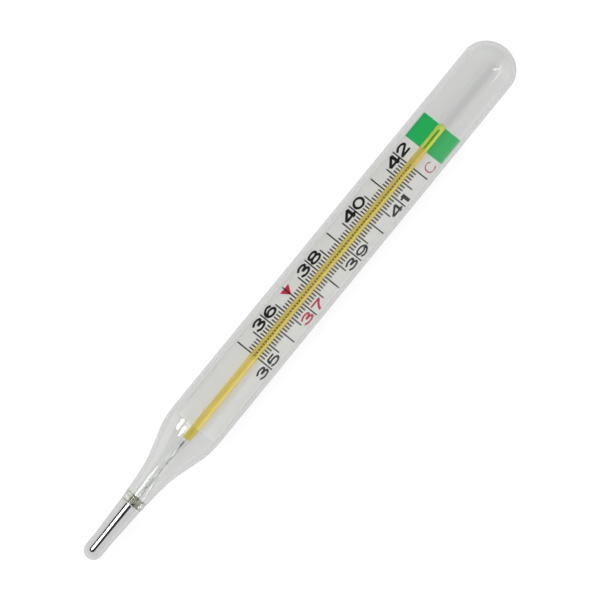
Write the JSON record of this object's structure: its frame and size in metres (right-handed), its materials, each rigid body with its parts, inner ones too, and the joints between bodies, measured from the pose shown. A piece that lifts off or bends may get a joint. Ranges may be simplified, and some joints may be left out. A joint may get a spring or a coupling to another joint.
{
  "type": "clinical thermometer",
  "caption": "Glass maximum thermometer: oval sheath with a round top, slim bulb of liquid metal, and a yellow capillary on a white printed scale plate.",
  "frame": {"origin": "under the middle of the thermometer's length and width, on the surface that the oval sheath rests on", "axes": "+X along the long axis from the bulb to the round top, +Z out of the printed face of the scale, +Y towards the scale's edge with the even numerals"},
  "size_m": [0.1318, 0.0118, 0.0092],
  "materials": {
    "bulb_glass": "clear polished glass",
    "liquid_metal": "bright liquid metal",
    "seal_glass": "fused glass with dark folds",
    "stem_glass": "clear polished glass",
    "yellow_glass": "clear yellow glass",
    "plate_white": "matt white enamel",
    "black_ink": "matt black print",
    "red_ink": "matt red print",
    "green_ink": "matt green print",
    "sheath_glass": "clear polished glass"
  },
  "bodies": {
    "glass_body": {"bulb_glass": "bulb_glass", "reservoir_fill": "liquid_metal", "neck_seal": "seal_glass", "lower_stem": "stem_glass", "capillary": "yellow_glass", "scale_plate": "plate_white", "tenth_marks": "black_ink", "half_degree_marks": "black_ink", "degree_marks": "black_ink", "red_pointer": "red_ink", "green_band": "green_ink", "glass_sheath": "sheath_glass"},
    "liquid_thread": {"thread": "liquid_metal"}
  },
  "joints": [
    {"name": "thread_rise", "type": "slide", "parent": "glass_body", "child": "liquid_thread", "axis": [1, 0, 0], "range_m": [0, 0.07128]}
  ]
}
